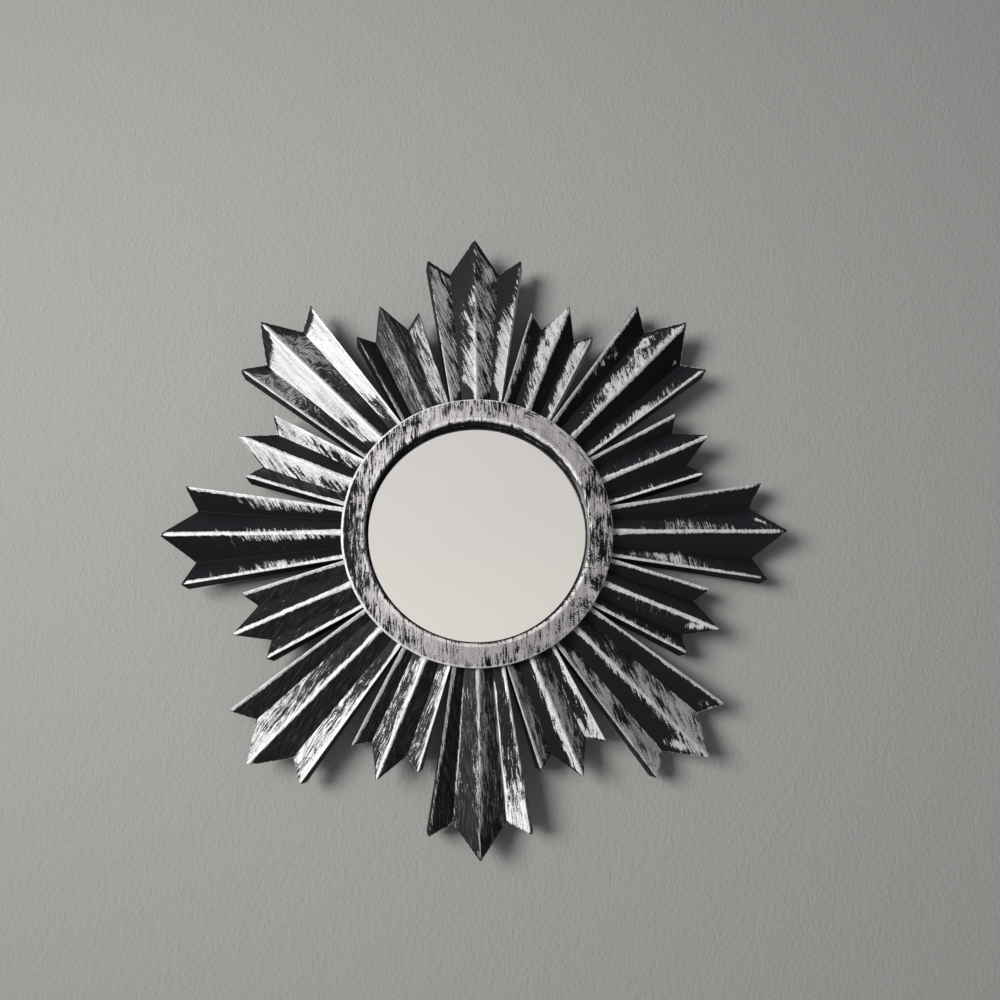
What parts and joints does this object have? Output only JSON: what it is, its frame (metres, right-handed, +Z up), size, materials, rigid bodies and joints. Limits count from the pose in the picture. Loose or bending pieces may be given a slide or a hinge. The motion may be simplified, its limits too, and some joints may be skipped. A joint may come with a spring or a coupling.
{
  "type": "sun mirror",
  "caption": "Round wall mirror in a silver ring, ringed by folded sheet rays with zig-zag ends, alternately long and short, black with silver brushed over the ridges.",
  "frame": {"origin": "middle of the back board's back face, on the wall plane", "axes": "+Z up as it hangs, the front faces -Y, +Y points into the wall"},
  "size_m": [0.25, 0.0216, 0.25],
  "materials": {
    "ray_paint": "semi-gloss black paint with silver dry-brushed over the ridges",
    "ring_paint": "silver brushed over black, streaky",
    "mirror": "silvered flat glass",
    "pad": "grey felt",
    "board": "bare brown hardboard",
    "screws": "zinc plated",
    "hanger": "zinc plated sheet"
  },
  "bodies": {
    "root": {"long_ray_n": "ray_paint", "short_ray_nne": "ray_paint", "long_ray_ne": "ray_paint", "short_ray_ene": "ray_paint", "long_ray_e": "ray_paint", "short_ray_ese": "ray_paint", "long_ray_se": "ray_paint", "short_ray_sse": "ray_paint", "long_ray_s": "ray_paint", "short_ray_ssw": "ray_paint", "long_ray_sw": "ray_paint", "short_ray_wsw": "ray_paint", "long_ray_w": "ray_paint", "short_ray_wnw": "ray_paint", "long_ray_nw": "ray_paint", "short_ray_nnw": "ray_paint", "front_ring": "ring_paint", "mirror_glass": "mirror", "glass_pad": "pad", "back_board": "board", "ray_screws": "screws", "ring_screws": "screws", "hanger_plate": "hanger", "hanger_screws": "screws"}
  },
  "joints": []
}
